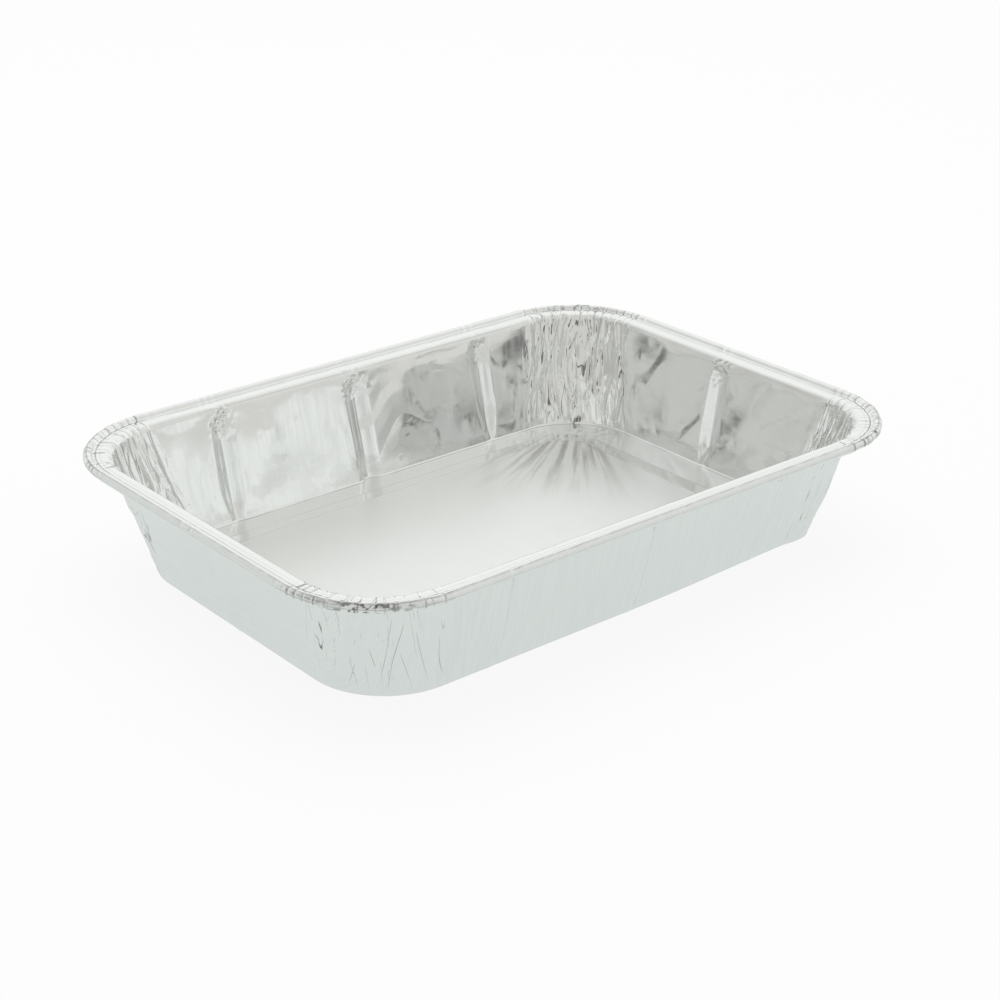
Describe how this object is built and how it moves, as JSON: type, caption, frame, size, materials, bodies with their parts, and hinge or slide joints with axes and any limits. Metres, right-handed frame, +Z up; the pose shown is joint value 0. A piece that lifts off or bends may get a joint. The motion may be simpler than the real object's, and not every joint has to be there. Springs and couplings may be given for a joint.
{
  "type": "aluminium foil tray",
  "caption": "Rectangular aluminium foil tray with tapered walls, stiffening ribs, pleated round corners, a flat flange and a rolled bead rim.",
  "frame": {"origin": "centre of the base, on the surface the tray stands on", "axes": "+X along the long walls, +Y along the end walls, +Z up out of the open top"},
  "size_m": [0.32, 0.234, 0.056],
  "materials": {
    "foil": "satin"
  },
  "bodies": {
    "root": {"foil_tray": "foil"}
  },
  "joints": []
}
